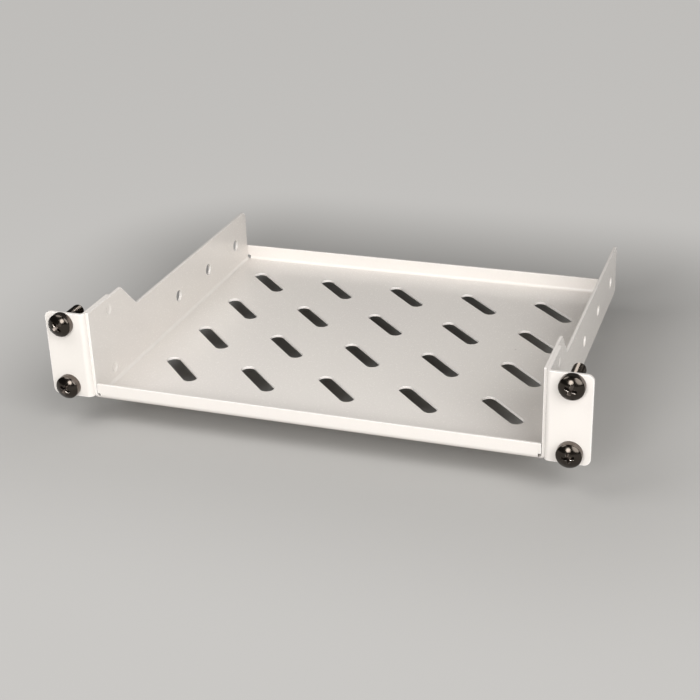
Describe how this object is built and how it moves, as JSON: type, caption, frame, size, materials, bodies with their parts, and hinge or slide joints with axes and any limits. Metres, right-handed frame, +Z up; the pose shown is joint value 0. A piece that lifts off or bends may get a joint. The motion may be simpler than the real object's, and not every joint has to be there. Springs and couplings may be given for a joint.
{
  "type": "rack shelf",
  "caption": "Fixed tray shelf for a 10 inch rack: folded steel tray with slanted vent slots, stepped side walls, upturned lips, welded ear brackets and dark pan-head rack screws.",
  "frame": {"origin": "centre of the four rack screws, in the plane of the ears' rear faces, which bear on the rack rails", "axes": "+X to the right seen from the front, +Y into the rack along the screws, +Z up"},
  "size_m": [0.254, 0.1928, 0.0444],
  "materials": {
    "powder_coat": "warm light-grey satin powder coat on folded steel sheet",
    "black_screw": "glossy black plated steel"
  },
  "bodies": {
    "root": {"tray": "powder_coat", "left_ear_bracket": "powder_coat", "right_ear_bracket": "powder_coat", "rack_screws": "black_screw"}
  },
  "joints": []
}
